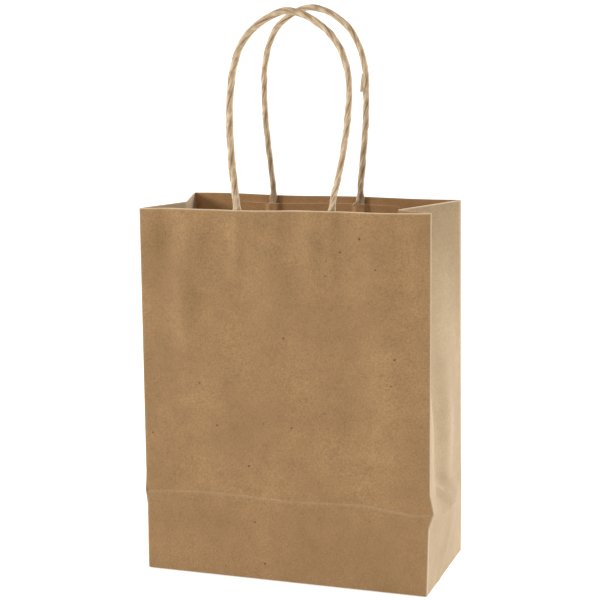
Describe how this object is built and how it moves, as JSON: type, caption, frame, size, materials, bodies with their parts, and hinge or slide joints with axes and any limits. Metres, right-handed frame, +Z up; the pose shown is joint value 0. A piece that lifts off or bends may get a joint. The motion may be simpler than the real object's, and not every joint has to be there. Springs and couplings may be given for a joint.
{
  "type": "gift bag",
  "caption": "Square-bottomed kraft paper carrier bag with folding side gussets, a fold-up base and two twisted paper cord loop handles.",
  "frame": {"origin": "centre of the opened base on the ground", "axes": "+Z up, front panel towards -Y, right gusset towards +X"},
  "size_m": [0.164, 0.09, 0.3202],
  "materials": {
    "kraft_panels": "brown kraft paper, matt, machine finished",
    "kraft_gussets": "brown kraft paper, the lighter looking sides",
    "kraft_inside": "brown kraft paper, base flaps and patch strips",
    "paper_cord": "twisted kraft paper cord, light tan"
  },
  "bodies": {
    "front": {"front_panel": "kraft_panels", "front_patch_outer": "kraft_inside", "front_patch_inner": "kraft_inside", "front_cord_ends": "paper_cord"},
    "front_foot": {"front_base_strip": "kraft_panels"},
    "base": {"base_front_flap": "kraft_inside", "base_rear_flap": "kraft_inside"},
    "right_gusset_front": {"gusset_right_front": "kraft_gussets"},
    "right_gusset_rear": {"gusset_right_rear": "kraft_gussets", "side_seam_lap": "kraft_panels"},
    "left_gusset_front": {"gusset_left_front": "kraft_gussets"},
    "left_gusset_rear": {"gusset_left_rear": "kraft_gussets"},
    "back_foot": {"back_base_strip": "kraft_panels"},
    "back": {"back_panel": "kraft_panels", "back_patch_outer": "kraft_inside", "back_patch_inner": "kraft_inside", "back_cord_ends": "paper_cord"},
    "front_handle": {"front_handle": "paper_cord"},
    "back_handle": {"back_handle": "paper_cord"}
  },
  "joints": [
    {"name": "collapse", "type": "hinge", "parent": "front", "child": "right_gusset_front", "pos_m": [0.0818, -0.044, 0], "axis": [0, 0, 1], "range_deg": [0, 85]},
    {"name": "right_gusset_crease", "type": "hinge", "parent": "right_gusset_front", "child": "right_gusset_rear", "pos_m": [0.0822, 0, 0], "axis": [0, 0, 1], "range_deg": [-170, 0]},
    {"name": "back_right_corner", "type": "hinge", "parent": "right_gusset_rear", "child": "back_foot", "pos_m": [0.0818, 0.044, 0], "axis": [0, 0, 1], "range_deg": [0, 85]},
    {"name": "back_lean", "type": "hinge", "parent": "back_foot", "child": "back", "pos_m": [0, 0.0448, 0.045], "axis": [-1, 0, 0], "range_deg": [0, 3.15]},
    {"name": "left_gusset_corner", "type": "hinge", "parent": "front", "child": "left_gusset_front", "pos_m": [-0.0818, -0.044, 0], "axis": [0, 0, 1], "range_deg": [-85, 0]},
    {"name": "left_gusset_crease", "type": "hinge", "parent": "left_gusset_front", "child": "left_gusset_rear", "pos_m": [-0.0822, 0, 0], "axis": [0, 0, 1], "range_deg": [0, 170]},
    {"name": "front_crease", "type": "hinge", "parent": "front", "child": "front_foot", "pos_m": [0, -0.0452, 0.045], "axis": [-1, 0, 0], "range_deg": [0, 170]},
    {"name": "base_front_edge", "type": "hinge", "parent": "front_foot", "child": "base", "pos_m": [0, -0.044, 0.0002], "axis": [-1, 0, 0], "range_deg": [-85, 0]},
    {"name": "front_handle_fold", "type": "hinge", "parent": "front", "child": "front_handle", "pos_m": [0, -0.0433, 0.2121], "axis": [1, 0, 0], "range_deg": [-12, 98]},
    {"name": "back_handle_fold", "type": "hinge", "parent": "back", "child": "back_handle", "pos_m": [0, 0.03419, 0.21176], "axis": [-1, 0, 0], "range_deg": [-16, 94]}
  ],
  "couplings": [
    {"joint": "right_gusset_crease", "follows": "collapse", "ratio": -2},
    {"joint": "back_right_corner", "follows": "collapse", "ratio": 1},
    {"joint": "back_lean", "follows": "collapse", "ratio": 0.03679},
    {"joint": "left_gusset_corner", "follows": "collapse", "ratio": -1},
    {"joint": "left_gusset_crease", "follows": "collapse", "ratio": 2},
    {"joint": "front_crease", "follows": "collapse", "ratio": 2},
    {"joint": "base_front_edge", "follows": "collapse", "ratio": -1}
  ]
}
